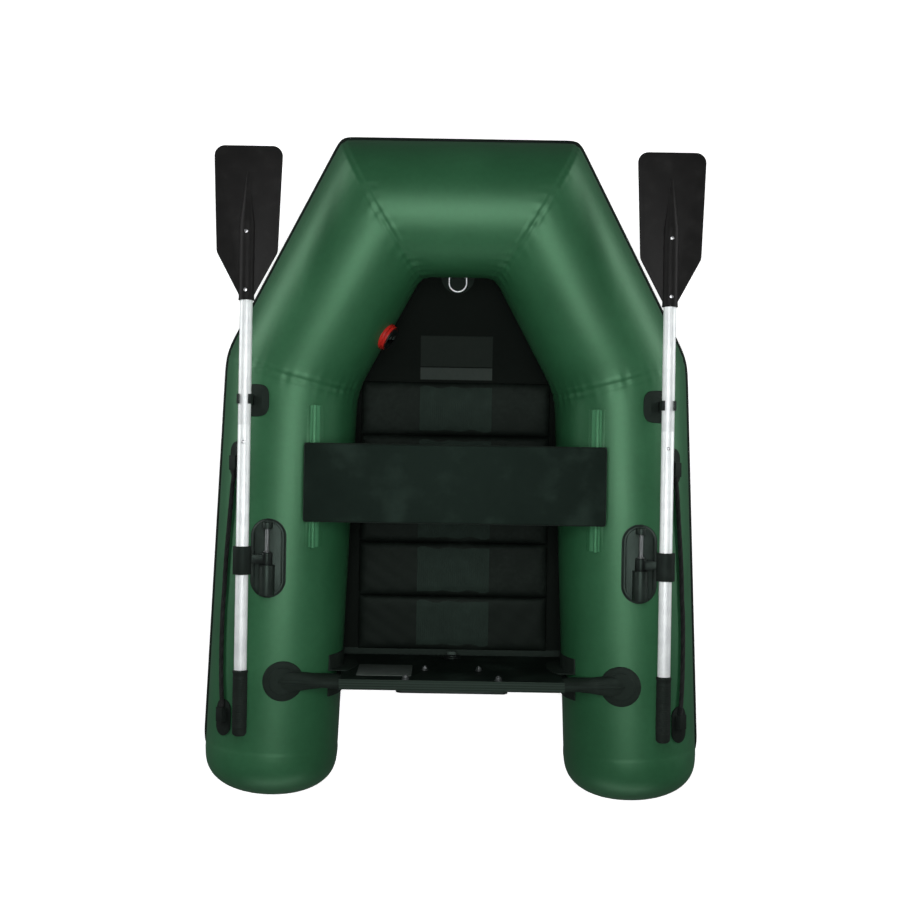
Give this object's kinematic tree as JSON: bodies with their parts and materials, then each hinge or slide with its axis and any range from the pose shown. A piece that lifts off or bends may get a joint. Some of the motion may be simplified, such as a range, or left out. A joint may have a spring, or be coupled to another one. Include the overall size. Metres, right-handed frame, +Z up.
{
  "type": "inflatable rowing dinghy",
  "caption": "Small inflatable rowing boat with buoyancy tubes, slatted floor, sliding bench, plywood transom, swivelling rowlocks and clipped-in oars.",
  "frame": {"origin": "on the ground under the middle of the boat, at the bottom centre of its box", "axes": "+X to starboard, +Y to the bow, +Z up"},
  "size_m": [1.209, 1.5802, 0.409],
  "materials": {
    "hull_fabric": "satin",
    "black_rubber": "matte",
    "floor_fabric": "satin",
    "slat_plywood": "satin",
    "coated_plywood": "satin",
    "black_plastic": "satin",
    "grip_rubber": "matte",
    "steel": "satin",
    "aluminium_tube": "satin",
    "red_plastic": "satin",
    "grey_plastic": "satin",
    "rope": "matte"
  },
  "bodies": {
    "hull": {"side_tube_port": "hull_fabric", "side_tube_starboard": "hull_fabric", "shoulder_tube_port": "hull_fabric", "shoulder_tube_starboard": "hull_fabric", "bow_tube": "hull_fabric", "stern_caps": "hull_fabric", "chamber_baffle": "hull_fabric", "rubbing_strake": "black_rubber", "floor_sheet": "floor_fabric", "slat_mat": "floor_fabric", "floor_slats": "slat_plywood", "mat_strip": "floor_fabric", "info_patch": "grey_plastic", "transom_board": "coated_plywood", "transom_outer_plate": "black_plastic", "transom_bolts": "steel", "transom_bonds": "black_rubber", "transom_ears": "black_rubber", "drain_body": "black_plastic", "rating_plate": "grey_plastic", "seat_rails": "hull_fabric", "ring_patch": "black_rubber", "valve_body_port": "black_plastic", "valve_body_starboard": "black_plastic", "rowlock_base_port": "black_rubber", "rowlock_base_starboard": "black_rubber", "rowlock_axle_port": "steel", "rowlock_axle_starboard": "steel", "clip_pads": "black_rubber", "oar_clip_port": "black_plastic", "oar_clip_starboard": "black_plastic", "line_holders": "black_rubber", "grab_line_port": "rope", "grab_line_starboard": "rope"},
    "seat": {"seat_board": "coated_plywood", "seat_channels": "black_plastic", "seat_screws": "steel"},
    "tow_ring": {"tow_ring": "steel"},
    "drain_plug": {"drain_plug": "grey_plastic"},
    "valve_cap_port": {"valve_cap_port": "red_plastic"},
    "valve_poppet_port": {"valve_poppet_port": "grey_plastic"},
    "rowlock_port": {"rowlock_saddle_port": "black_plastic"},
    "oar_port": {"oar_collar_port": "black_plastic", "oar_inner_shaft_port": "aluminium_tube", "oar_outer_shaft_port": "aluminium_tube", "oar_grip_port": "grip_rubber", "oar_blade_port": "black_plastic", "oar_screws_port": "steel"},
    "button_port": {"oar_button_port": "steel"},
    "valve_cap_starboard": {"valve_cap_starboard": "red_plastic"},
    "valve_poppet_starboard": {"valve_poppet_starboard": "grey_plastic"},
    "rowlock_starboard": {"rowlock_saddle_starboard": "black_plastic"},
    "oar_starboard": {"oar_collar_starboard": "black_plastic", "oar_inner_shaft_starboard": "aluminium_tube", "oar_outer_shaft_starboard": "aluminium_tube", "oar_grip_starboard": "grip_rubber", "oar_blade_starboard": "black_plastic", "oar_screws_starboard": "steel"},
    "button_starboard": {"oar_button_starboard": "steel"}
  },
  "joints": [
    {"name": "seat_slide", "type": "slide", "parent": "hull", "child": "seat", "axis": [0, 1, 0], "range_m": [-0.06, 0.085]},
    {"name": "tow_ring_hinge", "type": "hinge", "parent": "hull", "child": "tow_ring", "pos_m": [0, 0.48604, 0.06603], "axis": [-1, 0, 0], "range_deg": [0, 160]},
    {"name": "drain_plug_pull", "type": "slide", "parent": "hull", "child": "drain_plug", "axis": [0, 0.9997, 0.0262], "range_m": [0, 0.025]},
    {"name": "valve_cap_turn_port", "type": "hinge", "parent": "hull", "child": "valve_cap_port", "pos_m": [-0.17128, 0.32059, 0.22349], "axis": [0.8432, -0.5063, 0.1807], "range_deg": [0, 90]},
    {"name": "valve_poppet_push_port", "type": "slide", "parent": "hull", "child": "valve_poppet_port", "axis": [-0.8432, 0.5063, -0.1807], "range_m": [0, 0.006], "stiffness_N_per_m": 300, "springref_m": -0.01},
    {"name": "rowlock_tilt_port", "type": "hinge", "parent": "hull", "child": "rowlock_port", "pos_m": [-0.43318, -0.21, 0.342], "axis": [0, -1, 0], "range_deg": [-30, 30], "deforming": ["oar_clip_port"]},
    {"name": "oar_swing_port", "type": "hinge", "parent": "rowlock_port", "child": "oar_port", "pos_m": [-0.48318, -0.21, 0.388], "axis": [0, 0, 1], "range_deg": [0, 120], "deforming": ["oar_clip_port"]},
    {"name": "button_press_port", "type": "slide", "parent": "oar_port", "child": "button_port", "axis": [0, 0, -1], "range_m": [0, 0.0035], "stiffness_N_per_m": 800, "springref_m": -0.004},
    {"name": "valve_cap_turn_starboard", "type": "hinge", "parent": "hull", "child": "valve_cap_starboard", "pos_m": [0.25134, -0.04656, 0.16], "axis": [-0.9992, -0.041, 0], "range_deg": [0, 90]},
    {"name": "valve_poppet_push_starboard", "type": "slide", "parent": "hull", "child": "valve_poppet_starboard", "axis": [0.9992, 0.041, 0], "range_m": [0, 0.006], "stiffness_N_per_m": 300, "springref_m": -0.01},
    {"name": "rowlock_tilt_starboard", "type": "hinge", "parent": "hull", "child": "rowlock_starboard", "pos_m": [0.43318, -0.21, 0.342], "axis": [0, 1, 0], "range_deg": [-30, 30], "deforming": ["oar_clip_starboard"]},
    {"name": "oar_swing_starboard", "type": "hinge", "parent": "rowlock_starboard", "child": "oar_starboard", "pos_m": [0.48318, -0.21, 0.388], "axis": [0, 0, -1], "range_deg": [0, 120], "deforming": ["oar_clip_starboard"]},
    {"name": "button_press_starboard", "type": "slide", "parent": "oar_starboard", "child": "button_starboard", "axis": [0, 0, -1], "range_m": [0, 0.0035], "stiffness_N_per_m": 800, "springref_m": -0.004}
  ]
}
